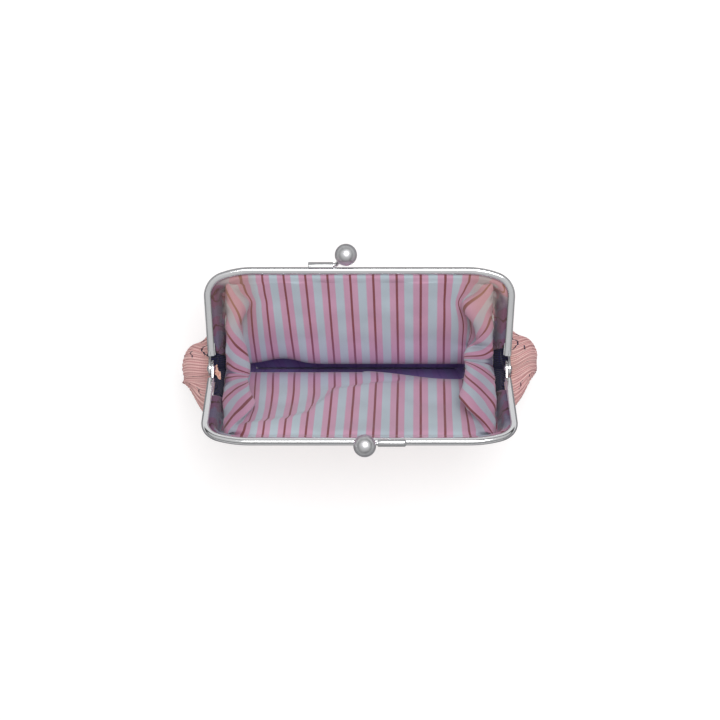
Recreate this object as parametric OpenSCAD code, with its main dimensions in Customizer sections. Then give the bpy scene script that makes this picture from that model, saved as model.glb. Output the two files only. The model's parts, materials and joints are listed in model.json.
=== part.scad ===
// Kiss clasp pouch, standing open: two hinged chrome channel frames crimped on a padded knitted
// pouch with a striped cotton lining, and two crossing balls that snap past each other to close it.
// X runs along the hinge, Y towards the back, Z up; the origin is on the floor below the hinge.

/* [Frame] */
// Width of the frame over its corners
frame_w = 200; // [170:1:240]
// Height from the hinge axis to the outside of the bar
frame_h = 65.6; // [55:0.1:80]
// Depth of the channel, from its web to its mouth
channel_depth = 5; // [4.5:0.1:6.5]
// Thickness of the channel over its two legs
channel_t = 4.4; // [4.3:0.1:6]
// Thickness of the sheet that the channel is rolled from
sheet_t = 0.6; // [0.4:0.05:0.7]
// Radius of the gentle shoulder that leaves the bar
shoulder_r = 60; // [40:1:90]
// Radius of the tight corner that meets the arm
corner_r = 16; // [12:0.5:24]
// Gap between the faces of the closed halves and the plane between them
face_gap = 0.15; // [0.1:0.05:0.4]

/* [Opening] */
// Angle of the back half from its closed place, in degrees
back_open = 80; // [70:1:85]
// Angle of the front half from its closed place, in degrees
front_open = 44; // [38:1:55]

/* [Hinge] */
// Height of the hinge axis above the floor
hinge_z = 80; // [72:0.5:95]
// Diameter of the round lugs
lug_d = 11; // [9:0.5:13]
// Thickness of each lug
lug_t = 1.6; // [1.2:0.1:2]
// Gap between the two lugs of a hinge
lug_gap = 0.15; // [0.1:0.05:0.3]
// Height above the hinge axis at which the channel starts
arm_start = 8; // [7.5:0.5:10]
// Diameter of the rivet's shank
rivet_d = 3; // [2:0.1:4]
// Diameter of the rivet's domed heads
rivet_head_d = 5.6; // [4.5:0.1:7]
// Height of the rivet's domed heads
rivet_head_h = 1.2; // [0.8:0.1:1.8]
// Running clearance on the radius of a pin in its bore
pin_clearance = 0.05; // [0.02:0.01:0.1]

/* [Clasp] */
// Diameter of the clasp balls
ball_d = 14.2; // [12:0.1:15]
// Height of the ball centres above the outside of the bar
ball_rise = 9; // [8:0.1:11]
// Distance that the ball centres reach inwards past the plane between the halves
ball_cross = 5.5; // [4.8:0.1:7]
// Distance between the two ball centres along the bar
ball_pitch = 11.9; // [11:0.1:14]
// Place of the middle between the balls, from the middle of the frame
clasp_x = -2.75; // [-10:0.25:10]
// Radius of the half round straps soldered on the bars
strap_r = 2.6; // [2.2:0.1:3]
// Height of the straps' axis above the outside of the bar
strap_rise = 1; // [0.6:0.1:1.4]
// Length of the back strap
back_strap_len = 16; // [12:0.5:22]
// Length of the front strap
front_strap_len = 18; // [12:0.5:22]
// Gap along the bar between a strap's end and its ball centre
strap_to_ball = 8.2; // [7.5:0.1:10]
// Diameter of the wire arms that carry the balls
wire_d = 2.6; // [2:0.1:3]

/* [Cloth] */
// Thickness of the knitted outside
knit_t = 0.8; // [0.6:0.05:1]
// Thickness of the cotton lining
lining_t = 0.4; // [0.3:0.05:0.5]
// Diameter of the paper cord that jams the cloth in the channel
cord_d = 1.4; // [1:0.1:1.6]
// Depth that the cloth reaches into the channel
cloth_grip = 2.8; // [2:0.1:3.4]
// Gap left between neighbouring soft layers
soft_gap = 0.15; // [0.1:0.05:0.3]
// Gap between the back and front panels at their seams
seam_gap = 0.4; // [0.2:0.1:0.8]

/* [Pouch] */
// Width of the pouch at its fullest
pouch_w = 234; // [210:1:260]
// Height of the fullest width above the floor
full_z = 36; // [28:1:44]
// Width of the flat base
base_w = 150; // [120:1:170]
// Depth of the flat base from front to back
base_d = 38; // [28:1:50]
// Reach of the back panel from the hinge plane, at its belly
back_belly = 46; // [36:0.5:56]
// Reach of the front panel from the hinge plane, at its belly
front_belly = 40; // [32:0.5:50]
// Distance that the bottom seam lies in front of the hinge plane
seam_front = 8; // [4:0.5:14]
// Width between the side notches, where the cloth's edge dips below the hinges
notch_w = 172; // [160:1:180]
// Depth of the side notches below the hinge axis
notch_drop = 8; // [7:0.5:12]
// Width of the slit, where the two lining panels nearly meet
slit_w = 146; // [120:1:150]
// Gap between the lining panels at the slit
slit_gap = 5; // [3:0.5:10]
// Height of the slit above the floor
slit_z = 36; // [28:1:46]
// Height of the lining's bottom seam above the floor
lining_z = 9; // [7:0.5:14]

/* [Hidden] */

$fn = 48;
overrun = 1;
BACK = 1;
FRONT = -1;

// The frame's outline, in the plane of one half: x along the bar and a up from the hinge axis
shoulder_angle = 20;
arm_lean = 3.2;
shoulder_steps = 4;
corner_steps = 14;
cord_sides = 10;
bar_half = frame_w / 2 - shoulder_r * sin(shoulder_angle) - corner_r * (1 - sin(shoulder_angle));
shoulder_c = [bar_half, frame_h - shoulder_r];
shoulder_end = 90 - shoulder_angle;
corner_c = shoulder_c + (shoulder_r - corner_r) * along(shoulder_end);
arm_top = corner_c + corner_r * along(-arm_lean);
arm_foot_x = arm_top.x - arm_top.y * tan(arm_lean);

// The hinge: the back lug lies outside the front one, and a neck joins each to its channel
back_lug_x = arm_foot_x - lug_gap - lug_t;
front_lug_x = back_lug_x - lug_gap - lug_t;
neck_end = arm_start + 2 * lug_t;
rivet_in_x = front_lug_x - pin_clearance;
rivet_out_x = back_lug_x + lug_t + pin_clearance;

// The clasp: the strap's axis lies a little inside the face plane, so that plane's far side of its
// flat foot is lifted clear of the other half's bar
strap_in = 0.25;
strap_lift = 0.3;
strap_dome_share = 0.8;
strap_a = frame_h + strap_rise;
strap_b = face_gap - strap_in;
ball_a = frame_h + ball_rise;
back_ball_x = clasp_x - ball_pitch / 2;
front_ball_x = clasp_x + ball_pitch / 2;
wire_bend = 1.2;
wire_elbow_share = 1.1;
wire_a = frame_h + strap_lift + wire_d / 2;
wire_grip = 2 * wire_d;
wire_sink = ball_d / 4;

// Where the layers lie in the channel, measured outwards from the plane between the halves
cord_b = face_gap + sheet_t + soft_gap / 2 + cord_d / 2;
cord_depth = sheet_t + cord_d;
lining_b = cord_b + cord_d / 2 + soft_gap / 2 + lining_t / 2;
knit_b = lining_b + lining_t / 2 + soft_gap + knit_t / 2;
cloth_in = channel_depth - cloth_grip;
cloth_free = channel_depth + knit_t / 2;
cloth_out = channel_depth + 2 * knit_t;
cloth_start = neck_end + 2 * knit_t;
arm_run = (arm_top.y - cloth_start) / cos(arm_lean);

// Below the mouth of the channel the knit turns out and down, and the lining in and down
knit_turn_depth = cloth_out + knit_t;
knit_turn_b = face_gap + 2 * channel_t;
knit_notch_out = 2 * channel_depth;
knit_notch_drop = 4 * knit_t;
lining_turn_depth = 2 * channel_depth;
lining_turn_b = channel_t;
valley_b = 1.6 * channel_t;
lining_notch_in = knit_t;

// Levels round the pouch: half width, back reach, front reach, height, side seam's place in front
knit_squareness_share = 0.95;
run_power_share = 1.25;
knit_levels = [
    [pouch_w * 0.485, back_belly, front_belly, hinge_z * 0.72, 0],
    [pouch_w * 0.5, back_belly * 0.86, front_belly * 0.9, full_z, seam_front * 0.3],
    [pouch_w * 0.41, back_belly * 0.6, front_belly * 0.68, full_z * 0.17, seam_front * 0.6],
    [base_w * 0.5, base_d * 0.5, base_d * 0.5, knit_t * 0.5, seam_front],
    [base_w * 0.42, -seam_front, seam_front, knit_t * 0.5, seam_front]
];

// Levels of the lining, whose sides roll over a plump lobe beside each arm and then drop to the
// slit: half width, back reach, front reach, share that bends the fall towards the side, and drop
// below the arm. Below the bar all levels lie on the straight slope from the mouth to the slit
lobe_levels = [
    [notch_w * 0.495, back_belly * 1.18, front_belly * 0.99, 1.45, full_z * 0.16],
    [notch_w * 0.468, back_belly * 1.06, front_belly * 0.88, 1.15, full_z * 0.09],
    [notch_w * 0.436, back_belly * 0.93, front_belly * 0.68, 0.95, full_z * 0.18],
    [slit_w * 0.506, back_belly * 0.84, front_belly * 0.59, 0.95, full_z * 0.53],
    [slit_w * 0.51, back_belly * 0.43, front_belly * 0.31, 0.95, full_z * 0.92]
];
straight_share = 0.42;
side_shares = [0.48, 0.67];
round_power = 10;
row_steps = [0, 1, 1.5, 2, 2.5, 3, 3.5, 4, 4.5, 5, 5.5, 6, 7];
lining_steps = [0, 1, 2, 2.5, 3, 3.5, 4, 4.5, 5, 5.5, 6, 7, 8, 8.5, 9, 9.5, 10];
padding_bar_steps = [5, 6.5, 7.2, 8, 8.5, 9, 9.25, 9.5, 10];
padding_side_steps = [3.75, 4.2, 5, 6.2, 7.4, 8.5, 9, 9.5, 10];
padding_out_steps = [2.5, 3, 3.5, 4, 4.5, 5, 5.5, 6, 7];
padding_lower_share = 0.8;
padding_gap_share = 0.16;

// Stations along one side of a panel's top edge, as shares of each stretch; none lies in the middle,
// so the middle of the base is within one facet
bar_shares = [0.12, 0.36, 0.6, 0.8];
shoulder_shares = [0, 0.5];
corner_shares = [0, 0.25, 0.5, 0.75];
arm_shares = [0, 0.33, 0.67, 1];
edge_shares = [0.4, 0.75, 1];

// From the plane of one half to the standing pouch; s is BACK or FRONT
function mix(p, q, k) = p + (q - p) * k;
function unit(p) = p / norm(p);
function along(angle) = [cos(angle), sin(angle)];
function open_angle(s) = s == BACK ? back_open : front_open;
function placed(s, x, a, b) =
    let (t = open_angle(s))
    [x, s * (a * sin(t) + b * cos(t)), hinge_z + a * cos(t) - b * sin(t)];
function outwards(s) = placed(s, 0, 0, 1) - placed(s, 0, 0, 0);

// A station is its place on the frame's outer edge, the inward direction there, how far it lies
// along the free edge of cloth between the channel's end and the side notch, and the depth at
// which the cloth's edge lies, which comes out of the channel just before the channel's end
function arc_station(c, r, angle) = [c + r * along(angle), -along(angle), 0, cloth_in];
function arm_station(k, e) =
    [arm_top - k * arm_run * [sin(arm_lean), cos(arm_lean)], -along(-arm_lean), e, k < 1 ? cloth_in : cloth_free];
stations = concat(
    [for (k = bar_shares) [[k * bar_half, frame_h], [0, -1], 0, cloth_in]],
    [for (k = shoulder_shares) arc_station(shoulder_c, shoulder_r, 90 - k * shoulder_angle)],
    [for (k = corner_shares) arc_station(corner_c, corner_r, mix(shoulder_end, -arm_lean, k))],
    [for (k = arm_shares) arm_station(k, 0)],
    [for (k = edge_shares) arm_station(1, k)]
);
last = len(stations) - 1;
columns = 2 * last + 1;
function station_of(column) = column > last ? column - last - 1 : last - column;

// Length of the top edge up to station i, and the angle that it takes round the pouch
function edge_at(i) = stations[i][0] - stations[i][2] * [arm_foot_x - notch_w / 2, cloth_start + notch_drop];
function run_to(i) = i == 0 ? stations[0][0].x : run_to(i - 1) + norm(edge_at(i) - edge_at(i - 1));
runs = [for (i = [0:last]) run_to(i)];
function phase(i) = 90 * pow(runs[i] / runs[last], run_power_share);

// A level round the pouch: a rounded oblong, where a level is [half width, back reach, front
// reach, height, place of the side seam in front of the hinge]
function round_at(s, i, level, squareness) =
    let (p = phase(i), reach = s == BACK ? level[1] + level[4] : level[2] - level[4])
    [
        level[0] * pow(sin(p), squareness),
        s * (seam_gap / 2 + (reach - seam_gap / 2) * pow(cos(p), squareness)) - level[4],
        level[3]
    ];

// A point of the frame's own stretch, depth inwards from its outer edge, or of the free edge
function frame_point(s, i, depth, b, notch) =
    let (st = stations[i], p = st[0] + depth * st[1], q = placed(s, p.x, p.y, b))
    st[2] == 0 ? q : mix(q, notch, st[2]);
function notch_point(s, out, drop) = [notch_w / 2 + out, s * seam_gap / 2, hinge_z - notch_drop - drop];

// The control points of a layer at station i, from its edge in the channel to the bottom seam
function knit_controls(s, i) = concat(
    [
        frame_point(s, i, stations[i][3], knit_b, notch_point(s, 2 * knit_t, 0)),
        frame_point(s, i, cloth_out, knit_b, notch_point(s, cloth_out, knit_t / 2)),
        frame_point(s, i, knit_turn_depth, knit_turn_b, notch_point(s, knit_notch_out, knit_notch_drop))
    ],
    [for (level = knit_levels) round_at(s, i, level, knit_squareness_share)]
);
function lining_controls(s, i) = concat(
    [
        frame_point(s, i, stations[i][3], lining_b, notch_point(s, 0, 0)),
        frame_point(s, i, cloth_out, lining_b, notch_point(s, -lining_t, -lining_notch_in)),
        frame_point(
            s, i, lining_turn_depth, mix(lining_turn_b, valley_b, side_at(i)),
            notch_point(s, -2 * lining_t, -2 * lining_notch_in)
        )
    ],
    [for (level = lobe_levels) lobe_at(s, i, level)],
    [for (k = [0:2]) slit_point(s, i, k)]
);

// A column lies as far out as its run below the bar, and never more than the level's half width
function smooth(k) = let (c = min(1, max(0, k))) c * c * (3 - 2 * c);
function side_at(i) = smooth((runs[i] / runs[last] - side_shares[0]) / (side_shares[1] - side_shares[0]));
function spread(i, half) = runs[i] / pow(1 + pow(runs[i] / half, round_power), 1 / round_power);
function fall(i, power) =
    let (k = max(0, runs[i] / runs[last] - straight_share) / (1 - straight_share))
    (1 + cos(180 * pow(k, power))) / 2;
function slit_point(s, i, k) =
    let (half = [slit_w / 2, slit_w / 2, slit_w * 0.46][k], gap = [0.5, 1.9, 0][k] * slit_gap)
    [
        spread(i, half), s * (seam_gap / 2 + gap * fall(i, 0.9)),
        k == 2 ? lining_z : mix(lining_z, slit_z, k == 0 ? 1 : 0.5)
    ];
function lobe_at(s, i, level) =
    let (
        arm = edge_at(i), free = stations[i][2], mouth = placed(s, 0, frame_h - cloth_out, lining_b),
        top = placed(s, 0, arm.y * (1 - free), 0),
        y = mix(seam_gap / 2, s == BACK ? level[1] : level[2], fall(i, level[3])),
        slope = mix(slit_z, mouth.z, (y - slit_gap / 2) / (abs(mouth.y) - slit_gap / 2)),
        roll = mix(hinge_z, top.z, min(1, y / max(seam_gap, abs(top.y)))) - level[4]
    )
    [spread(i, level[0]), s * y, mix(slope, roll, side_at(i))];

// A smooth curve through control points, at t counted in points. Its direction at a point leans
// towards the nearer neighbour, so a long stretch doesn't throw a loop into a short one
function heading(c, i) =
    i == 0 ? unit(c[1] - c[0]) : i == len(c) - 1 ? unit(c[i] - c[i - 1]) :
    let (p = c[i] - c[i - 1], q = c[i + 1] - c[i])
    unit(unit(p) * norm(q) + unit(q) * norm(p));
function curve_at(c, t) =
    let (i = min(floor(t), len(c) - 2), k = t - i, p = c[i], q = c[i + 1], reach = norm(q - p))
    i == 0 ? mix(p, q, k) :
    (2 * pow(k, 3) - 3 * pow(k, 2) + 1) * p + (3 * pow(k, 2) - 2 * pow(k, 3)) * q
    + (pow(k, 3) - 2 * pow(k, 2) + k) * reach * heading(c, i)
    + (pow(k, 3) - pow(k, 2)) * reach * heading(c, i + 1);

// The middle surface of a layer: columns from the left notch to the right, rows downwards
function mirrored(p, left) = left ? [-p.x, p.y, p.z] : p;
function half_surface(controls, steps) = [for (c = controls) [for (t = steps) curve_at(c, t)]];
function whole_surface(half) = [
    for (i = [0:columns]) [for (p = half[station_of(i)]) mirrored(p, i <= last)]
];

// Both faces of a layer: its middle surface moved along its outward normal
function flat_side(n, i) = i == 0 || i == columns ? unit([n.x, 0, n.z]) : unit(n);
function normal_at(s, g, i, j) =
    let (
        rows = len(g[0]) - 1,
        across = g[min(i + 1, columns)][j] - g[max(i - 1, 0)][j],
        down = g[i][min(j + 1, rows)] - g[i][max(j - 1, 0)],
        in_channel = j < 2 && station_of(i) <= last - len(edge_shares)
    )
    in_channel ? outwards(s) : flat_side(j >= rows - 1 ? [0, 0, -1] : s * cross(across, down), i);
function moved(s, g, out) = [
    for (i = [0:columns]) [for (j = [0:len(g[0]) - 1]) g[i][j] + out * normal_at(s, g, i, j)]
];

// A closed solid between two faces that have the same columns and rows
module between(s, outer, inner) {
    rows = len(outer[0]);
    count = rows * (columns + 1);
    quads = [
        for (i = [0:columns - 1], j = [0:rows - 2])
            let (p = i * rows + j) [p, p + rows, p + rows + 1, p + 1]
    ];
    rim = concat(
        [for (j = [0:rows - 1]) j],
        [for (i = [1:columns]) i * rows + rows - 1],
        [for (j = [rows - 2:-1:0]) columns * rows + j],
        [for (i = [columns - 1:-1:1]) i * rows]
    );
    sides = [
        for (k = [0:len(rim) - 1])
            let (p = rim[k], q = rim[(k + 1) % len(rim)]) [p, q, q + count, p + count]
    ];
    faces = concat(
        [for (q = quads) for (f = [[q[0], q[1], q[2]], [q[0], q[2], q[3]]]) f],
        [for (q = quads) for (f = [[q[0], q[2], q[1]], [q[0], q[3], q[2]]]) [for (p = f) p + count]],
        [for (q = sides) for (f = [[q[0], q[1], q[2]], [q[0], q[2], q[3]]]) f]
    );
    points = concat([for (c = outer) each c], [for (c = inner) each c]);
    polyhedron(points, s == BACK ? [for (f = faces) [f[2], f[1], f[0]]] : faces);
}

module layer(s, surface, thickness) {
    between(s, moved(s, surface, thickness / 2), moved(s, surface, -thickness / 2));
}

function knit_surface(s) = whole_surface(half_surface([for (i = [0:last]) knit_controls(s, i)], row_steps));
function lining_surface(s) =
    whole_surface(half_surface([for (i = [0:last]) lining_controls(s, i)], lining_steps));

// The padding fills most of the way from the lining to the knit, below the frame. Its two uppermost
// rows lie lower on the knit beside the arms
function out_step(i, j) =
    padding_out_steps[j] + padding_lower_share * side_at(i) * (j == 0 ? 1 : j == 1 ? 0.5 : 0);
function in_step(i, j) = mix(padding_bar_steps[j], padding_side_steps[j], side_at(i));
function in_column(c, i) = [for (j = [0:len(padding_bar_steps) - 1]) curve_at(c, in_step(i, j))];
function out_column(c, i) = [for (j = [0:len(padding_out_steps) - 1]) curve_at(c, out_step(i, j))];
function padding_face(inner, outer, share) = [
    for (i = [0:columns]) [for (j = [0:len(inner[0]) - 1]) mix(inner[i][j], outer[i][j], share)]
];
module padding(s) {
    lining = whole_surface([for (i = [0:last]) in_column(lining_controls(s, i), i)]);
    knit = whole_surface([for (i = [0:last]) out_column(knit_controls(s, i), i)]);
    inner = moved(s, lining, lining_t / 2);
    outer = moved(s, knit, -knit_t / 2);
    between(
        s, padding_face(inner, outer, 1 - padding_gap_share), padding_face(inner, outer, padding_gap_share)
    );
}

// One half of the frame is drawn flat, with x along the bar, a upwards and b out of the page
module half_frame(s) {
    translate([0, 0, hinge_z])
        rotate([s == BACK ? 90 - back_open : 90 + front_open, 0, 0])
            mirror([0, 0, s == BACK ? 1 : 0]) children();
}

// The frame's outline at a depth in from its outer edge, from the bar round to the arm's end
function path_side(depth, start) = concat(
    [
        for (k = [0:shoulder_steps - 1])
            shoulder_c + (shoulder_r - depth) * along(90 - k * shoulder_angle / shoulder_steps)
    ],
    [
        for (k = [0:corner_steps])
            corner_c + (corner_r - depth) * along(mix(shoulder_end, -arm_lean, k / corner_steps))
    ],
    [arm_top - depth * along(-arm_lean) - (arm_top.y - start) / cos(arm_lean) * [sin(arm_lean), cos(arm_lean)]]
);
function reversed(list) = [for (k = [len(list) - 1:-1:0]) list[k]];
function other_side(list) = [for (p = list) [-p.x, p.y]];
function whole_path(depth, start) = concat(reversed(other_side(path_side(depth, start))), path_side(depth, start));

// A slab that follows the frame between two depths, down to start above the hinge axis
module band(outer_depth, inner_depth, start, thickness) {
    linear_extrude(thickness)
        polygon(concat(whole_path(outer_depth, start), reversed(whole_path(inner_depth, start))));
}
module channel_shape() {
    difference() {
        translate([0, 0, face_gap]) band(0, channel_depth, arm_start, channel_t);
        translate([0, 0, face_gap + sheet_t])
            band(sheet_t, channel_depth + overrun, arm_start - overrun, channel_t - 2 * sheet_t);
    }
}

module lug(x) {
    translate([x, 0, 0]) rotate([90, 0, 90]) linear_extrude(lug_t) difference() {
        union() {
            circle(d = lug_d);
            polygon([
                [0, -lug_d / 2], [arm_start, face_gap], [neck_end, face_gap],
                [neck_end, face_gap + channel_t], [arm_start, face_gap + channel_t], [0, lug_d / 2]
            ]);
        }
        circle(d = rivet_d + 2 * pin_clearance);
    }
}

module channel(s) {
    half_frame(s) {
        channel_shape();
        for (side = [0, 1]) mirror([side, 0, 0]) lug(s == BACK ? back_lug_x : front_lug_x);
    }
}

module back_channel() { color("gainsboro") channel(BACK); }
module front_channel() { color("gainsboro") channel(FRONT); }

// A dome of a diameter and height, standing on the plane z = 0
module dome(d, h) {
    r = (pow(d / 2, 2) + pow(h, 2)) / (2 * h);
    intersection() {
        translate([0, 0, h - r]) sphere(r);
        cylinder(h = h, d = d + overrun);
    }
}
module hinge_rivets() {
    color("lightgrey") for (side = [0, 1]) mirror([side, 0, 0]) translate([0, 0, hinge_z]) {
        translate([rivet_in_x, 0, 0]) rotate([0, 90, 0]) cylinder(h = rivet_out_x - rivet_in_x, d = rivet_d);
        translate([rivet_out_x, 0, 0]) rotate([0, 90, 0]) dome(rivet_head_d, rivet_head_h);
        translate([rivet_in_x, 0, 0]) rotate([0, -90, 0]) dome(rivet_head_d, rivet_head_h);
    }
}

// A round tube along the frame, at a depth in from its outer edge and at b out from its face
module cord(s) {
    centre = whole_path(cord_depth, cloth_start);
    outer = whole_path(cord_depth - cord_d / 2, cloth_start);
    count = len(centre);
    rings = [
        for (i = [0:count - 1], k = [0:cord_sides - 1])
            let (p = centre[i] + (outer[i] - centre[i]) * cos(k * 360 / cord_sides))
            [p.x, p.y, cord_b + cord_d / 2 * sin(k * 360 / cord_sides)]
    ];
    walls = [
        for (i = [0:count - 2], k = [0:cord_sides - 1])
            let (p = i * cord_sides + k, q = i * cord_sides + (k + 1) % cord_sides)
            each [[p, q, q + cord_sides], [p, q + cord_sides, p + cord_sides]]
    ];
    ends = [
        [for (k = [cord_sides - 1:-1:0]) k],
        [for (k = [0:cord_sides - 1]) (count - 1) * cord_sides + k]
    ];
    half_frame(s) polyhedron(rings, concat(walls, ends));
}
module back_cord() { color("burlywood") cord(BACK); }
module front_cord() { color("burlywood") cord(FRONT); }

// The clasp parts are drawn for the back half, whose strap lies on the negative side of its ball;
// the front half's are the same, turned round along the bar
module clasp_side(s) {
    half_frame(s) translate([s == BACK ? back_ball_x : front_ball_x, 0, 0])
        mirror([s == BACK ? 0 : 1, 0, 0]) children();
}
module strap_bore() {
    translate([-strap_to_ball - wire_grip - overrun / 2, wire_a, strap_b]) rotate([0, 90, 0])
        cylinder(h = wire_grip + overrun, d = wire_d + 2 * pin_clearance);
}
module strap(s) {
    len = s == BACK ? back_strap_len : front_strap_len;
    clasp_side(s) difference() {
        union() {
            translate([-strap_to_ball - len, strap_a, strap_b]) rotate([0, 90, 0]) cylinder(h = len, r = strap_r);
            if (s == FRONT) translate([-strap_to_ball - len, strap_a, strap_b]) rotate([0, -90, 0])
                dome(2 * strap_r, strap_r * strap_dome_share);
        }
        translate([-strap_to_ball - 2 * len, frame_h - 2 * strap_r, strap_b - 2 * strap_r])
            cube([3 * len, 2 * strap_r, 4 * strap_r]);
        translate([-strap_to_ball - 2 * len, frame_h - 2 * strap_r, strap_b - 2 * strap_r])
            cube([3 * len, 2 * strap_r + strap_lift, 2 * strap_r + strap_in]);
        strap_bore();
    }
}
wire_start = [-strap_to_ball + wire_bend, wire_a, strap_b];
wire_aim = [0, ball_a, -ball_cross] - wire_start;
module wire_run(from, d, len) {
    translate(wire_start) rotate([0, 0, atan2(wire_aim.y, wire_aim.x)])
        rotate([0, 90 - asin(wire_aim.z / norm(wire_aim)), 0])
            translate([0, 0, from]) cylinder(h = len, d = d);
}
wire_reach = norm(wire_aim) - ball_d / 2 + wire_sink;
module wire(s) {
    clasp_side(s) {
        translate([-strap_to_ball - wire_grip, wire_a, strap_b]) rotate([0, 90, 0])
            cylinder(h = wire_grip + wire_bend, d = wire_d);
        translate(wire_start) sphere(d = wire_d * wire_elbow_share);
        wire_run(0, wire_d, wire_reach);
    }
}
module ball(s) {
    clasp_side(s) difference() {
        translate([0, ball_a, -ball_cross]) sphere(d = ball_d);
        wire_run(0, wire_d + 2 * pin_clearance, wire_reach + pin_clearance);
    }
}
module back_clasp_strap() { color("silver") strap(BACK); }
module front_clasp_strap() { color("silver") strap(FRONT); }
module back_clasp_wire() { color("silver") wire(BACK); }
module front_clasp_wire() { color("silver") wire(FRONT); }
module back_clasp_ball() { color("whitesmoke") ball(BACK); }
module front_clasp_ball() { color("whitesmoke") ball(FRONT); }

module knit_back_panel() { color("pink") layer(BACK, knit_surface(BACK), knit_t); }
module knit_front_panel() { color("pink") layer(FRONT, knit_surface(FRONT), knit_t); }
module padding_back() { color("ivory") padding(BACK); }
module padding_front() { color("ivory") padding(FRONT); }
module lining_back_panel() { color("lightsteelblue") layer(BACK, lining_surface(BACK), lining_t); }
module lining_front_panel() { color("lightsteelblue") layer(FRONT, lining_surface(FRONT), lining_t); }

back_channel();
front_channel();
hinge_rivets();
back_cord();
front_cord();
back_clasp_strap();
back_clasp_wire();
back_clasp_ball();
front_clasp_strap();
front_clasp_wire();
front_clasp_ball();
knit_back_panel();
knit_front_panel();
padding_back();
padding_front();
lining_back_panel();
lining_front_panel();
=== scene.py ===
# %% [markdown]
# A kiss clasp pouch, standing open and seen from straight above. This lesson dresses its packed
# construction model: two halves of a chrome channel frame, two clasp balls on bent wires, and three
# layers of cloth that hang from the channels. The frame is loaded first, because every piece below
# is placed and sized from it. Sizes in this file are in millimetres, and one factor turns them into
# Blender's metres when a mesh is made.

# %% Load the frame and keep its box
import json
import math

import bmesh
import bpy
from mathutils import Matrix, Vector, noise


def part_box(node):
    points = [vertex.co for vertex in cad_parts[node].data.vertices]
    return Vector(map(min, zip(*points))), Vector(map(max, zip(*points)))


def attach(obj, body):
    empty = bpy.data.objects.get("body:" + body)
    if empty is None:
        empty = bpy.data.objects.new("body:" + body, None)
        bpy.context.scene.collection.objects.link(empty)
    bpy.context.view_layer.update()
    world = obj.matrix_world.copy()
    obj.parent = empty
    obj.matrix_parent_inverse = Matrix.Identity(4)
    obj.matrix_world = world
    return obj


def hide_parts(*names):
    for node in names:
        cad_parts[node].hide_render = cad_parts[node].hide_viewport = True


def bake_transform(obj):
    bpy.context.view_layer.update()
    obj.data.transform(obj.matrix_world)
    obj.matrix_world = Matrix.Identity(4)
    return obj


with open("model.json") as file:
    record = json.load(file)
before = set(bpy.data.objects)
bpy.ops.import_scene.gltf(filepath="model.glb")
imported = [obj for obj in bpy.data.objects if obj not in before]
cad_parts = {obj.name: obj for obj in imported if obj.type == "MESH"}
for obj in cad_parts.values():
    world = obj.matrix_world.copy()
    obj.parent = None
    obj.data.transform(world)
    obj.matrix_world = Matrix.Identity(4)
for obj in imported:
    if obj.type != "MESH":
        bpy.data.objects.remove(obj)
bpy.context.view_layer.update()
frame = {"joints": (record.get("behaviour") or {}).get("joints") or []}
MM = 0.001
scene = bpy.context.scene

# %% [markdown]
# The photograph looks straight down from about 1.6 m above the hinges. A long lens at that distance
# keeps the near bars and the deep base at nearly the same scale, as the picture shows. The camera
# stands over the middle of the picture, which lies a little behind the hinge line.

# %% Camera
HINGE_Z = frame["joints"][0]["pos_m"][2] / MM
CAMERA_ABOVE_HINGE = 1600
PICTURE_CENTRE, PICTURE_WIDTH = (0.3, 5.5), 464.4
SENSOR = 36
camera = bpy.data.cameras.new("camera")
camera.sensor_width = SENSOR
camera.lens = SENSOR * CAMERA_ABOVE_HINGE / PICTURE_WIDTH
camera_object = bpy.data.objects.new("camera", camera)
camera_object.location = Vector((*PICTURE_CENTRE, HINGE_Z + CAMERA_ABOVE_HINGE)) * MM
scene.collection.objects.link(camera_object)
scene.camera = camera_object
print("lens in mm:", round(camera.lens, 1))

# %% [markdown]
# Materials are built from a few shader nodes each. Writing the same three lines for every node makes
# a long script, so one small class adds nodes and links them: a number or colour is set on a socket,
# and another node's output is linked to it.

# %% A helper that wires shader nodes
def paint(red, green, blue):
    """A colour as seen on a screen, 0 to 255, as the linear colour that a shader wants."""
    def linear(c):
        c /= 255
        return c / 12.92 if c <= 0.04045 else ((c + 0.055) / 1.055) ** 2.4
    return (linear(red), linear(green), linear(blue), 1)


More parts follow.
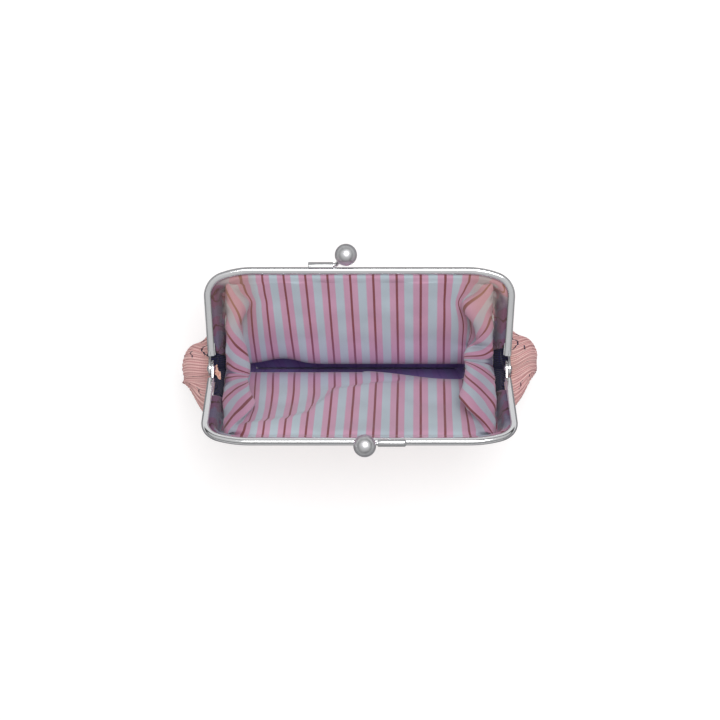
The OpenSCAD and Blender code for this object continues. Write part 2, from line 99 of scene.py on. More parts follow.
class Wiring:
    """The nodes of a material or a sky, with short calls for those that this lesson needs."""

    def __init__(self, tree):
        self.nodes, self.links = tree.nodes, tree.links

    def put(self, socket, value):
        if isinstance(value, bpy.types.NodeSocket):
            self.links.new(value, socket)
        else:
            socket.default_value = value

    def fill(self, node, **values):
        for name, value in values.items():
            self.put(node.inputs[name.replace("_", " ")], value)
        return node

    def node(self, kind, **values):
        return self.fill(self.nodes.new("ShaderNode" + kind), **values)

    def math(self, operation, *values):
        node = self.node("Math")
        node.operation = operation
        for socket, value in zip(node.inputs, values):
            self.put(socket, value)
        return node.outputs[0]

    def times(self, first, second):
        return self.math("MULTIPLY", first, second)

    def rest(self, share):
        """What a share leaves of 1."""
        return self.math("SUBTRACT", 1.0, share)

    def mix(self, share, first, second, kind="MIX"):
        node = self.node("Mix")
        node.data_type = "RGBA"
        node.blend_type = kind
        for socket, value in ((0, share), (6, first), (7, second)):
            self.put(node.inputs[socket], value)
        return node.outputs[2]

    def shade(self, share, dark, light):
        return self.mix(share, paint(*dark), paint(*light))

    def step(self, value, low, high):
        """0 below low and 1 above high, with a smooth rise between them."""
        node = self.node("MapRange", Value=value, From_Min=low, From_Max=high)
        node.interpolation_type = "SMOOTHSTEP"
        return node.outputs["Result"]

    def wave(self, value, cycles=1.0):
        """A smooth wave between 0 and 1, that many cycles for each unit of the value."""
        angle = self.times(value, cycles * math.tau)
        return self.math("MULTIPLY_ADD", self.math("SINE", angle), 0.5, 0.5)

    def noise(self, place, scale, detail=2.0):
        return self.node("TexNoise", Vector=place, Scale=scale, Detail=detail).outputs["Fac"]

    def axes(self, place):
        return self.node("SeparateXYZ", Vector=place).outputs


# %% [markdown]
# A finish is such a wiring round one shader. Its patterns read two kinds of place: where a point
# lies in the object, and where it lies on the flat cloth, across its threads and along them.

# %% A material under construction
class Finish(Wiring):
    def __init__(self, name):
        self.material = bpy.data.materials.new(name)
        self.material.use_nodes = True
        super().__init__(self.material.node_tree)
        self.shader = self.nodes["Principled BSDF"]

    def set(self, **values):
        self.fill(self.shader, **values)

    def object_place(self):
        return self.node("TexCoord").outputs["Object"]

    def cloth_place(self):
        """The place on the cloth, then its two coordinates one by one."""
        place = self.node("UVMap")
        place.uv_map = "cloth"
        across, down, _ = self.axes(place.outputs[0])
        return place.outputs[0], across, down

    def bump(self, height, strength, distance):
        node = self.node("Bump", Height=height, Strength=strength, Distance=distance * MM)
        self.set(Normal=node.outputs[0])


# %% [markdown]
# The frame is plated steel. Polished plating is a mirror, but handling leaves fine scratches and a
# faint haze, so its roughness wanders a little and a very small bump keeps its reflections from
# looking drawn with a ruler. The clasp parts are plated castings, and the two balls are the softest
# in their shine, because fingers push against them each time the pouch is opened.

# %% Plated metal
def plated(name, roughness, haze_scale):
    finish = Finish(name)
    place = finish.object_place()
    haze = finish.noise(place, haze_scale, 4.0)
    scratches = finish.noise(place, 2600.0, 3.0)
    finish.set(Metallic=1.0, Base_Color=finish.shade(haze, (226, 227, 230), (240, 240, 241)))
    finish.set(Roughness=finish.math("MULTIPLY_ADD", haze, roughness * 0.9, roughness * 0.5))
    finish.bump(scratches, 0.12, 0.02)
    return finish.material


chrome = plated("plated_steel", 0.13, 90.0)
clasp_plating = plated("plated_clasp", 0.1, 160.0)
ball_plating = plated("plated_balls", 0.36, 160.0)

# %% [markdown]
# The lining is a striped shirting cotton: a pink band with a dark red line in its middle, then a
# pale blue band. The stripes are woven, so they follow the cloth: the pattern reads the cloth's own
# coordinates, where one unit is one repeat of the stripe. Thin threads cross in a plain weave, each
# a little lighter or darker than the next. Painted shade turns the cotton purple towards the slit
# and darkens its plump sides and the gathers by the arms; painted warm light tints the back corners.

# %% Striped cotton
STRIPE = 15.3
THREADS = 36.0
MIDDLE_STRIPE = 5.4


def painted_slit_shade(finish, high, low, most):
    """0 above the higher level, growing to most at the lower one: painted shade towards the slit."""
    height = finish.axes(finish.object_place())[2]
    return finish.times(finish.rest(finish.step(height, low, high)), most)


def painted_shade_and_warm_light(finish):
    """Shares of painted shade on the plump sides, and of painted warm light on the back corners."""
    x, y, z = finish.axes(finish.object_place())
    out = finish.math("ABSOLUTE", x)
    sides = finish.times(finish.step(out, 0.062, 0.078), finish.step(z, 0.050, 0.070))
    corners = finish.times(finish.step(out, 0.060, 0.080), finish.step(y, 0.010, 0.045))
    return sides, finish.times(corners, 0.6)


def gathers(finish, across, down):
    """1 where the cotton is gathered beside the arms, just out of the channel, for painted shade."""
    out = finish.math("ABSOLUTE", finish.math("SUBTRACT", across, MIDDLE_STRIPE))
    return finish.times(finish.step(out, 5.6, 6.3), finish.rest(finish.step(down, 0.85, 1.25)))


def striped_cotton():
    finish = Finish("striped_cotton")
    place, across, down = finish.cloth_place()
    ragged = finish.math("SUBTRACT", finish.noise(place, 60.0), 0.5)
    shifted = finish.math("ADD", finish.math("MULTIPLY_ADD", ragged, 0.03, across), 0.5)
    off_line = finish.math("ABSOLUTE", finish.math("SUBTRACT", finish.math("FRACT", shifted), 0.5))
    heather = finish.noise(place, 70.0, 4.0)
    pale = finish.shade(heather, (152, 180, 192), (214, 222, 224))
    pink = finish.shade(heather, (184, 124, 156), (230, 182, 202))
    line = finish.shade(heather, (104, 34, 32), (150, 64, 50))
    colour = finish.mix(finish.step(off_line, 0.3, 0.325), pink, pale)
    colour = finish.mix(finish.step(off_line, 0.04, 0.06), line, colour)
    patches = finish.times(finish.noise(finish.object_place(), 28.0), 0.16)
    colour = finish.mix(patches, colour, paint(150, 150, 190))
    # Painted shade: the cotton turns purple and darker towards the deep slit.
    colour = finish.mix(painted_slit_shade(finish, 0.064, 0.034, 0.42), colour, paint(112, 78, 146))
    colour = finish.mix(painted_slit_shade(finish, 0.034, 0.021, 0.85), colour, paint(116, 86, 168))
    # Painted shade darkens the plump sides, and painted warm light yellows the back corners.
    sides, corners = painted_shade_and_warm_light(finish)
    colour = finish.mix(sides, colour, paint(218, 206, 214), "MULTIPLY")
    colour = finish.mix(corners, colour, finish.mix(0.5, colour, paint(224, 176, 134)))
    # Painted shade on the gathered cotton beside the arms.
    colour = finish.mix(gathers(finish, across, down), colour, paint(150, 132, 160), "MULTIPLY")
    weave = finish.times(finish.wave(across, THREADS), finish.wave(down, THREADS))
    finish.set(Base_Color=finish.mix(finish.times(weave, 0.12), colour, paint(240, 232, 235)))
    finish.set(Roughness=0.85, Sheen_Weight=0.25, Sheen_Roughness=0.5, Specular_IOR_Level=0.25)
    finish.bump(finish.math("MULTIPLY_ADD", heather, 0.4, weave), 0.35, 0.18)
    return finish.material


cotton = striped_cotton()

# %% [markdown]
# The outside is a fine ribbed knit. Each rib is a column of stitches, and the furrows between the
# ribs are what the eye reads first: painted shade makes them darker, in the pink and the navy alike.
# The knit's own coordinates count stitches: one unit across is a rib and one unit down is a course.
# Colour changes in a knit happen stitch by stitch, so the navy corners below the hinges are worked
# out on whole stitches. The small figures are sewn on top: plain diamonds with a dot in each, and
# dashes, on a regular lattice. Salmon yarn at the mouth gives way to pink further down.

# %% Ribbed knit
RIB, COURSE = 2.0, 1.5
NAVY_FROM, NAVY_DEPTH = 132, 16.5
FIGURE_ACROSS, FIGURE_DOWN = 20.0, 24.0


def lattice(finish, rib, course, width, shift):
    """Distance from the nearest lattice point, counted in stitches: across, down."""
    row = finish.math("FLOOR", finish.math("DIVIDE", course, FIGURE_DOWN))
    moved = finish.math("MULTIPLY_ADD", row, shift, rib)
    inside = [(finish.math("FLOORED_MODULO", place, size), size / 2)
              for place, size in ((moved, width), (course, FIGURE_DOWN))]
    return [finish.math("ABSOLUTE", finish.math("SUBTRACT", place, half)) for place, half in inside]


def figures(finish, rib, course):
    """Where the navy thread of diamonds and dashes lies, and where the yellow dots."""
    reach = finish.math("ADD", *lattice(finish, rib, course, FIGURE_ACROSS, FIGURE_ACROSS / 2))
    diamond = finish.math("COMPARE", reach, 4.4, 0.42)
    across, down = lattice(finish, rib, course, FIGURE_ACROSS / 2, 0.0)
    dash_row = finish.math("COMPARE", down, 8.0, 0.35)
    dash = finish.times(finish.math("LESS_THAN", across, 1.4), dash_row)
    return finish.math("MAXIMUM", diamond, dash), finish.math("LESS_THAN", reach, 0.8)


def navy_corner(finish, rib, course):
    """The knit is navy beside the hinges: within a band below its edge, near the side seams."""
    out = finish.math("FLOOR", finish.math("ABSOLUTE", rib))
    near_seam = finish.math("GREATER_THAN", out, NAVY_FROM / RIB)
    near_edge = finish.math("LESS_THAN", finish.math("FLOOR", course), NAVY_DEPTH / COURSE)
    return finish.times(near_seam, near_edge)


def ribbed_knit():
    finish = Finish("ribbed_knit")
    place, rib, course = finish.cloth_place()
    off_rib = finish.math("ABSOLUTE", finish.math("SUBTRACT", finish.math("FRACT", rib), 0.5))
    stitch = finish.wave(finish.math("MULTIPLY_ADD", off_rib, 1.1, course))
    crown = finish.math("POWER", finish.rest(finish.times(off_rib, 2.0)), 0.7)
    height = finish.times(crown, finish.math("MULTIPLY_ADD", stitch, 0.35, 0.65))
    fuzz = finish.noise(place, 3.0, 4.0)
    patches = finish.noise(finish.object_place(), 45.0, 3.0)
    pink = finish.shade(patches, (232, 172, 178), (250, 210, 202))
    pink = finish.mix(finish.rest(finish.step(course, 6.0, 16.0)), pink, paint(242, 192, 170))
    # The furrows get painted shade: a darker colour where the rib is low.
    shaded_furrow = finish.shade(patches, (184, 98, 114), (214, 142, 144))
    colour = finish.mix(finish.step(height, 0.1, 0.62), shaded_furrow, pink)
    colour = finish.mix(finish.times(fuzz, 0.3), colour, paint(244, 214, 200))
    # The navy is darker in the furrows by painted shade too.
    navy = finish.shade(finish.step(height, 0.1, 0.7), (6, 6, 20), (34, 32, 74))
    sewn, dots = figures(finish, rib, course)
    colour = finish.mix(sewn, colour, navy)
    colour = finish.mix(dots, colour, paint(226, 208, 140))
    colour = finish.mix(navy_corner(finish, rib, course), colour, navy)
    finish.set(Base_Color=colour, Roughness=0.95, Sheen_Weight=0.12, Sheen_Roughness=0.6)
    finish.set(Specular_IOR_Level=0.1)
    finish.bump(finish.math("MULTIPLY_ADD", fuzz, 0.25, height), 0.9, 0.7)
    return finish.material


knit_finish = ribbed_knit()

# %% [markdown]
# Between knit and lining lies a soft wadding, and twisted paper cord jams the cloth in the channels.
# Neither shows from outside, but both are real pieces, so each has its own plain finish with the
# texture that such material has.

# %% Wadding, paper cord and yarn
def soft_fibre(name, dark, light, scale, roughness):
    finish = Finish(name)
    fibres = finish.noise(finish.object_place(), scale, 5.0)
    finish.set(Base_Color=finish.shade(fibres, dark, light), Roughness=roughness, Sheen_Weight=0.3)
    finish.bump(fibres, 0.6, 0.4)
    return finish.material


wadding = soft_fibre("wadding", (214, 210, 200), (242, 240, 234), 420.0, 1.0)
paper = soft_fibre("twisted_paper", (150, 122, 88), (196, 168, 128), 900.0, 0.9)
peach_yarn = soft_fibre("peach_yarn", (216, 140, 122), (250, 214, 196), 1400.0, 0.95)

# %% [markdown]
# Every piece of the frame follows one outline: half a bar, a gentle shoulder, a tight corner and an
# arm that leans in towards the hinge. Each half is drawn flat, with x along the bar, a upwards from
# the hinge axis and b out of its face, and is then turned down by the angle at which it stands open.

# %% The frame's outline and how a half stands
BACK, FRONT = 1, -1
HALVES = {BACK: "back", FRONT: "front"}
OPEN = {BACK: frame["joints"][0]["range_deg"][1], FRONT: frame["joints"][1]["range_deg"][1]}
FRAME_H = 65.6
SHOULDER_R, SHOULDER_ANGLE = 60, 20
CORNER_R = 16
ARM_LEAN = 3.2
ARM_START = 8
CHANNEL_DEPTH, CHANNEL_T, SHEET_T, FACE_GAP = 5, 4.4, 0.6, 0.15


def along(angle):
    return Vector((math.cos(math.radians(angle)), math.sin(math.radians(angle))))


frame_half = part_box("back_channel")[1].x / MM
turned_in = math.sin(math.radians(SHOULDER_ANGLE))
BAR_HALF = frame_half - SHOULDER_R * turned_in - CORNER_R * (1 - turned_in)
SHOULDER_C = Vector((BAR_HALF, FRAME_H - SHOULDER_R))
CORNER_C = SHOULDER_C + (SHOULDER_R - CORNER_R) * along(90 - SHOULDER_ANGLE)
ARM_TOP = CORNER_C + CORNER_R * along(-ARM_LEAN)
ARM_DOWN = along(-90 - ARM_LEAN)
CORNER_ANGLE = 90 - SHOULDER_ANGLE + ARM_LEAN


def standing(s):
    """The matrix that stands one half's flat drawing up, in metres."""
    lift = Matrix.Translation((0, 0, HINGE_Z * MM))
    turn = Matrix.Rotation(math.radians(90 - s * OPEN[s]), 4, "X")
    flip = Matrix.Diagonal((1, 1, -s, 1))
    return lift @ turn @ flip @ Matrix.Scale(MM, 4)


def placed(s, x, a, b):
    """The same, for one point, in millimetres."""
    t = math.radians(OPEN[s])
    y = s * (a * math.sin(t) + b * math.cos(t))
    return Vector((x, y, HINGE_Z + a * math.cos(t) - b * math.sin(t)))


print("half bar in mm:", round(BAR_HALF, 2), "open angles:", OPEN)

# %% [markdown]
# All new pieces end the same way: their mesh becomes an object, gets its material, rides on its body
# and hides the construction pieces that it stands for. One function does that. Plated pieces keep
# the edges of more than 38 degrees sharp, so flat ends don't smear the shine of long sides.

# %% Finish a piece
SHARP_EDGE = 38


def make_piece(name, bm, material, body, slot, *nodes):
    bmesh.ops.recalc_face_normals(bm, faces=bm.faces)
    mesh = bpy.data.meshes.new(name)
    bm.to_mesh(mesh)
    bm.free()
    mesh.polygons.foreach_set("use_smooth", [True] * len(mesh.polygons))
    if material in (chrome, clasp_plating, ball_plating):
        mesh.set_sharp_from_angle(angle=math.radians(SHARP_EDGE))
    mesh.materials.append(material)
    piece = bpy.data.objects.new(name, mesh)
    scene.collection.objects.link(piece)
    if body:
        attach(piece, body)
    if nodes:
        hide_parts(*nodes)
    print(name, len(mesh.polygons), "faces")
    return piece


def stand_up(s, kind, bm, matrix, material, slot, node):
    """Turn a drawing of a half's piece to its place, where it rides on that half of the frame."""
    bmesh.ops.transform(bm, matrix=matrix, verts=bm.verts)
    half = HALVES[s]
    return make_piece(f"{half}_{kind}", bm, material, half + "_frame", slot, f"{half}_{node}")


# %% [markdown]
# Extruding, spinning and rounding return mixed lists of points, edges and faces. A few helpers pick
# out what the next step needs.

# %% Short calls for mesh steps
def verts_of(geometry):
    return [g for g in geometry if isinstance(g, bmesh.types.BMVert)]


def edges_of(geometry):
    return [g for g in geometry if isinstance(g, bmesh.types.BMEdge)]


def ends_of(edges):
    return list(dict.fromkeys(v for e in edges for v in e.verts))


def everything(bm):
    return bm.verts[:] + bm.edges[:] + bm.faces[:]


def pull(bm, edges, step):
    """Extrude a ring of edges by a step, and return the new ring."""
    geometry = bmesh.ops.extrude_edge_only(bm, edges=edges)["geom"]
    moved = verts_of(geometry)
    bmesh.ops.translate(bm, verts=moved, vec=step)
    return [e for e in edges_of(geometry) if all(v in moved for v in e.verts)]


def swing(bm, edges, centre, axis, angle, steps):
    """Spin a ring of edges about an axis, and return the last ring."""
    result = bmesh.ops.spin(bm, geom=ends_of(edges) + edges, cent=centre, axis=axis, angle=angle,
                            steps=steps, use_duplicate=False)
    return edges_of(result["geom_last"])


def thicken(bm, step):
    """Extrude all faces by a step."""
    result = bmesh.ops.extrude_face_region(bm, geom=bm.faces[:])
    bmesh.ops.translate(bm, verts=verts_of(result["geom"]), vec=step)


def round_off(bm, edges, radius, segments):
    bmesh.ops.bevel(bm, geom=edges, offset=radius, segments=segments, profile=0.5,
                    affect="EDGES", material=-1)


def mirror_x(bm, merge):
    bmesh.ops.mirror(bm, geom=everything(bm), axis="X", merge_dist=merge)


def absorb(bm, other):
    """Add another bmesh to this one."""
    mesh = bpy.data.meshes.new("part")
    other.to_mesh(mesh)
    other.free()
    bm.from_mesh(mesh)
    bpy.data.meshes.remove(mesh)


# %% [markdown]
# The channel is rolled from a strip of steel: a U whose web faces outwards, with rounded edges, and
# whose two lips pinch the cloth. It could be a curve with a bevel profile, but the arcs of the frame
# are true arcs, so the profile is drawn once at the middle of the bar and then swept: extruded along
# the bar, spun round the shoulder and the corner, and extruded down the arm. A mirror makes the
# other side, and the two open ends are closed.

# %% Sweep a profile along half of the frame
def sweep_along_frame(bm, profile, end_a):
    """profile holds (depth, b) points of a closed loop; the sweep runs down to end_a on the arms."""
    ring = [bm.verts.new((0, FRAME_H - depth, b)) for depth, b in profile]
    edges = [bm.edges.new((ring[i - 1], ring[i])) for i in range(len(ring))]
    edges = pull(bm, edges, (BAR_HALF, 0, 0))
    for centre, angle, steps in ((SHOULDER_C, SHOULDER_ANGLE, 10), (CORNER_C, CORNER_ANGLE, 26)):
        edges = swing(bm, edges, (*centre, 0), (0, 0, -1), math.radians(angle), steps)
    run = (ARM_TOP.y - end_a) / math.cos(math.radians(ARM_LEAN))
    for _ in range(4):
        edges = pull(bm, edges, (*(ARM_DOWN * run / 4), 0))
    bmesh.ops.contextual_create(bm, geom=edges)
    mirror_x(bm, 0.001)
    bmesh.ops.remove_doubles(bm, verts=bm.verts, dist=0.001)


def arc(centre, radius, start, end, steps):
    return [tuple(Vector(centre) + radius * along(start + (end - start) * k / steps))
            for k in range(steps + 1)]


OUTER_R, INNER_R, CURL_R, CURL_END = 1.75, 1.15, 1.9, 318


def channel_profile():
    """The rolled U as (depth, b) points: outside with round edges, a curled lip, then the inside."""
    lip = SHEET_T / 2
    low, high = FACE_GAP, FACE_GAP + CHANNEL_T
    curl, inner = (CHANNEL_DEPTH - CURL_R, low + CURL_R), SHEET_T + INNER_R
    return [
        *arc(curl, CURL_R, CURL_END, 270, 6),
        *arc((OUTER_R, low + OUTER_R), OUTER_R, 270, 180, 9),
        *arc((OUTER_R, high - OUTER_R), OUTER_R, 180, 90, 7),
        *arc((CHANNEL_DEPTH - lip, high - lip), lip, 90, -90, 5),
        *arc((inner, high - inner), INNER_R, 90, 180, 4),
        *arc((inner, low + inner), INNER_R, 180, 270, 4),
        *arc(curl, CURL_R - SHEET_T, 270, CURL_END, 5),
    ]


# %% [markdown]
# Each arm ends in a flat round lug with a rivet through it. A lug is stamped: a disc with a neck
# that runs up into the channel. The outline is an arc, two tangents and the neck's corners, and the
# neck keeps to its own side of the frame, so the other half can close against it. The outline is
# extruded to the sheet's thickness, and a small bevel takes the sharp edge off.

# %% Lugs, and the two channels
LUG_D, LUG_T, LUG_GAP = 11, 1.6, 0.15
NECK_END = ARM_START + 2 * LUG_T
ARM_FOOT_X = ARM_TOP.x - ARM_TOP.y * math.tan(math.radians(ARM_LEAN))
LUG_X = {BACK: ARM_FOOT_X - LUG_GAP - LUG_T}
LUG_X[FRONT] = LUG_X[BACK] - LUG_GAP - LUG_T


def tangent_angle(point, turn):
    """Where a line from the point touches the lug's disc, in degrees."""
    point = Vector(point)
    reach = math.degrees(math.acos(LUG_D / 2 / point.length))
    return math.degrees(math.atan2(point.y, point.x)) + turn * reach


def make_lug(x):
    """A lug whose inner face lies at x, on the right hand side, drawn in the half's own plane."""
    low, high = FACE_GAP, FACE_GAP + CHANNEL_T
    start = tangent_angle((ARM_START, high), 1)
    end = 360 + tangent_angle((ARM_START, low), -1)
    outline = arc((0, 0), LUG_D / 2, start, end, 36)
    outline += [(ARM_START, low), (NECK_END, low), (NECK_END, high), (ARM_START, high)]
    lug = bmesh.new()
    lug.faces.new([lug.verts.new((x, a, b)) for a, b in outline])
    thicken(lug, (LUG_T, 0, 0))
    bmesh.ops.recalc_face_normals(lug, faces=lug.faces)
    rim = [e for e in lug.edges if e.verts[0].co.x == e.verts[1].co.x
           and abs(e.calc_face_angle(0)) > math.radians(60)]
    round_off(lug, rim, 0.3, 3)
    return lug


def make_channel(s):
    bm = make_lug(LUG_X[s])
    mirror_x(bm, 0.0001)
    channel = bmesh.new()
    sweep_along_frame(channel, channel_profile(), ARM_START)
    absorb(bm, channel)
    return stand_up(s, "frame_channel", bm, standing(s), chrome, "chrome", "channel")


channels = {s: make_channel(s) for s in HALVES}

# %% [markdown]
# The paper cord runs inside the channel, beside its inner leg. It is the same sweep with a round
# profile, and its twist is left to the finish because the cloth hides it.

# %% Paper cords
CORD_D = 1.4
LAYER_GAP = 0.075
CORD_B = FACE_GAP + SHEET_T + LAYER_GAP + CORD_D / 2
CORD_END = NECK_END + 1.6

for s in HALVES:
    cord = bmesh.new()
    circle = arc((SHEET_T + CORD_D, CORD_B), CORD_D / 2, 0, 330, 11)
    sweep_along_frame(cord, circle, CORD_END)
    stand_up(s, "paper_cord", cord, standing(s), paper, "cord", "cord")

# %% [markdown]
# Each hinge turns on a domed rivet. A rivet is round about its own axis, so half of its outline is
# drawn as a few points and spun a full turn.

# %% Rivets
RIVET_D, HEAD_D, HEAD_H, RIVET_PLAY = 3, 5.6, 1.2, 0.05


def make_rivets():
    bm = bmesh.new()
    inner_x, outer_x = LUG_X[FRONT] - RIVET_PLAY, LUG_X[BACK] + LUG_T + RIVET_PLAY
    dome_r = ((HEAD_D / 2) ** 2 + HEAD_H ** 2) / (2 * HEAD_H)
    head = [(math.sin(t) * dome_r, math.cos(t) * dome_r - dome_r + HEAD_H)
            for t in (math.asin(HEAD_D / 2 / dome_r) * k / 8 for k in range(9))]
    outline = [(outer_x + h, r) for r, h in head] + [(outer_x, RIVET_D / 2), (inner_x, RIVET_D / 2)]
    outline += [(inner_x - h, r) for r, h in reversed(head)]
    verts = [bm.verts.new((x, r, 0)) for x, r in outline]
    edges = [bm.edges.new(pair) for pair in zip(verts, verts[1:])]
    bmesh.ops.spin(bm, geom=verts + edges, cent=(0, 0, 0), axis=(1, 0, 0), angle=math.tau,
                   steps=36, use_merge=True, use_duplicate=False)
    bmesh.ops.remove_doubles(bm, verts=bm.verts, dist=0.0005)
    mirror_x(bm, 0.0001)
    place = Matrix.Translation((0, 0, HINGE_Z * MM)) @ Matrix.Scale(MM, 4)
    bmesh.ops.transform(bm, matrix=place, verts=bm.verts)
    return make_piece("hinge_rivet_pair", bm, clasp_plating, "back_frame", "clasp", "hinge_rivets")


make_rivets()

# %% [markdown]
# The clasp has a half round strap soldered on each bar, a bent wire that grows out of it, and a ball
# on the wire. The two sides are the same, turned round along the bar, so all of it is drawn once for
# the back half, with the ball at zero and its strap on the negative side.

# %% Clasp sizes and straps
BALL_D, BALL_RISE, BALL_CROSS, BALL_PITCH, CLASP_X = 14.2, 9, 5.5, 11.9, -2.75
BALL_CENTRE = Vector((0, FRAME_H + BALL_RISE, -BALL_CROSS))
STRAP_R, STRAP_TO_BALL = 2.6, 8.2
STRAP_LEN = {BACK: 16, FRONT: 18}
STRAP_END_R = {BACK: 0.5, FRONT: 1.6}
STRAP_A, STRAP_B = FRAME_H + 1, FACE_GAP - 0.25
SOLDER = 0.02
WIRE_D, WIRE_BEND_R, WIRE_FOOT = 2.6, 2.2, 6
WIRE_A = FRAME_H + 0.3 + WIRE_D / 2
ACROSS_X = Matrix.Rotation(math.radians(90), 4, "Y")


def clasp_side(s):
    """From the drawing of a clasp side to its place on the standing frame."""
    shift = Matrix.Translation((CLASP_X - s * BALL_PITCH / 2, 0, 0))
    return standing(s) @ shift @ Matrix.Diagonal((s, 1, 1, 1))


def disc_at(bm, place, radius, segments):
    """A round face across the strap's direction."""
    disc = bmesh.ops.create_circle(bm, segments=segments, radius=radius, cap_ends=True)
    bmesh.ops.transform(bm, matrix=Matrix.Translation(place) @ ACROSS_X, verts=disc["verts"])


def make_strap(s):
    bm = bmesh.new()
    disc_at(bm, (-STRAP_TO_BALL, STRAP_A, STRAP_B), STRAP_R, 40)
    bmesh.ops.bisect_plane(bm, geom=everything(bm), plane_co=(0, FRAME_H + SOLDER, 0),
                           plane_no=(0, -1, 0), clear_outer=True)
    thicken(bm, (-STRAP_LEN[s], 0, 0))
    far = (-STRAP_TO_BALL - STRAP_LEN[s], STRAP_END_R[s], 6)
    for x, radius, segments in (far, (-STRAP_TO_BALL, 0.5, 4)):
        end = [e for e in bm.edges if all(abs(v.co.x - x) < 0.01 for v in e.verts)]
        round_off(bm, end, radius, segments)
    return stand_up(s, "strap", bm, clasp_side(s), clasp_plating, "clasp", "clasp_strap")


# %% [markdown]
# The wire grows out of the strap, bends, and ends inside its ball.

# %% Clasp wires and balls
def make_wire(s):
    """A round wire: straight in the strap, spun through its bend, then straight into the ball."""
    bm = bmesh.new()
    start = Vector((-STRAP_TO_BALL + 0.4, WIRE_A, STRAP_B))
    aim = BALL_CENTRE - start
    along_strap = Vector((1, 0, 0))
    axis = along_strap.cross(aim).normalized()
    bend_centre = start + axis.cross(along_strap) * WIRE_BEND_R
    disc_at(bm, start - along_strap * WIRE_FOOT, WIRE_D / 2, 20)
    ring = pull(bm, bm.edges[:], along_strap * WIRE_FOOT)
    ring = swing(bm, ring, bend_centre, axis, along_strap.angle(aim), 8)
    middle = sum((v.co for v in ends_of(ring)), Vector()) / len(ring)
    reach = BALL_CENTRE - middle
    pull(bm, ring, reach * (1 - BALL_D * 0.3 / reach.length))
    bmesh.ops.holes_fill(bm, edges=bm.edges)
    return stand_up(s, "wire", bm, clasp_side(s), clasp_plating, "clasp", "clasp_wire")


def make_ball(s):
    bm = bmesh.new()
    ball = bmesh.ops.create_uvsphere(bm, u_segments=48, v_segments=32, radius=BALL_D / 2)
    bmesh.ops.translate(bm, verts=ball["verts"], vec=BALL_CENTRE)
    return stand_up(s, "ball", bm, clasp_side(s), ball_plating, "clasp", "clasp_ball")


for s in HALVES:
    for make in (make_strap, make_wire, make_ball):
        make(s)

# %% [markdown]
# Now the cloth. Each layer of each half is one sheet: its top edge lies in the channel from arm to
# arm, and its columns of threads run down from there to a seam at the bottom. The place along the
# top edge, measured from the middle of the bar, is called the run. A run past the end of the arm
# lies on the free edge, which dips below the hinge to the side notch.

# %% The cloth's top edge
NOTCH_HALF, NOTCH_DROP, SEAM_GAP = 86, 8, 0.4
KNIT_T, LINING_T, CLOTH_GRIP = 0.8, 0.4, 2.8
CLOTH_START = NECK_END + 2 * KNIT_T
CLOTH_OUT = CHANNEL_DEPTH + 2 * KNIT_T
SHOULDER_RUN = math.radians(SHOULDER_ANGLE) * SHOULDER_R
CORNER_RUN = math.radians(CORNER_ANGLE) * CORNER_R
ARM_RUN = (ARM_TOP.y - CLOTH_START) / math.cos(math.radians(ARM_LEAN))
ARM_END = BAR_HALF + SHOULDER_RUN + CORNER_RUN + ARM_RUN
FREE_RUN = math.hypot(ARM_FOOT_X - NOTCH_HALF, CLOTH_START + NOTCH_DROP)
RUN = ARM_END + FREE_RUN
LINING_B = CORD_B + CORD_D / 2 + LAYER_GAP + LINING_T / 2
KNIT_B = LINING_B + LINING_T / 2 + 2 * LAYER_GAP + KNIT_T / 2


def smooth(low, high, value):
    k = min(1, max(0, (value - low) / (high - low)))
    return k * k * (3 - 2 * k)


def within(start, full, last, none, value):
    """1 from full to last, fading to 0 at start on one side and at none on the other."""
    return smooth(start, full, value) * (1 - smooth(last, none, value))


def between(knots, value):
    """Straight lines through the (place, value) knots."""
    for (p, v), (q, w) in zip(knots, knots[1:]):
        if value <= q:
            return v + (w - v) * max(0, value - p) / (q - p)
    return knots[-1][1]


# %% [markdown]
# A run is turned into a place in two steps: first on the flat outline of the half, then standing, a
# little deeper in the channel or below it. On the free edge the place moves over to the side notch,
# and close to the hinge the cloth is tucked inwards.

# %% From a run to a place
def station(run):
    """Place on the frame's outer edge, the direction inwards, and the share of the free edge."""
    if run <= BAR_HALF:
        return Vector((run, FRAME_H)), Vector((0, -1)), 0
    run -= BAR_HALF
    if run <= SHOULDER_RUN:
        outwards = along(90 - math.degrees(run / SHOULDER_R))
        return SHOULDER_C + SHOULDER_R * outwards, -outwards, 0
    run -= SHOULDER_RUN
    if run <= CORNER_RUN:
        outwards = along(90 - SHOULDER_ANGLE - math.degrees(run / CORNER_R))
        return CORNER_C + CORNER_R * outwards, -outwards, 0
    run -= CORNER_RUN
    down = min(run, ARM_RUN)
    return ARM_TOP + down * ARM_DOWN, -along(-ARM_LEAN), min(1, max(0, run - ARM_RUN) / FREE_RUN)


def edge_depth(run):
    """Depth of the cloth's edge in the channel; it comes out just before the channel ends."""
    coming_out = smooth(ARM_END - 8, ARM_END - 1, run)
    return CHANNEL_DEPTH - CLOTH_GRIP + (CLOTH_GRIP + KNIT_T / 2) * coming_out


TUCK_FROM = {(BACK, -1): 148, (BACK, 1): 143, (FRONT, -1): 134, (FRONT, 1): 139}


def frame_point(s, side, run, depth, b, notch, tuck=(0, 0)):
    """A point in or below the channel. Beside the hinge, tuck moves it inwards and down."""
    place, inwards, share = station(run)
    k = smooth(TUCK_FROM[s, side], TUCK_FROM[s, side] + 7, run)
    p = place + (depth + k * tuck[0]) * inwards
    p.y *= 1 - share
    return placed(s, p.x, p.y, b + k * tuck[1]).lerp(notch, share ** 2)


def notch_point(s, out, drop):
    return Vector((NOTCH_HALF + out, s * SEAM_GAP / 2, HINGE_Z - NOTCH_DROP - drop))


# %% [markdown]
# A column of cloth is a smooth curve through a few control points. Its direction at a point leans
# towards the nearer neighbour, so a long stretch can't throw a loop into a short one.

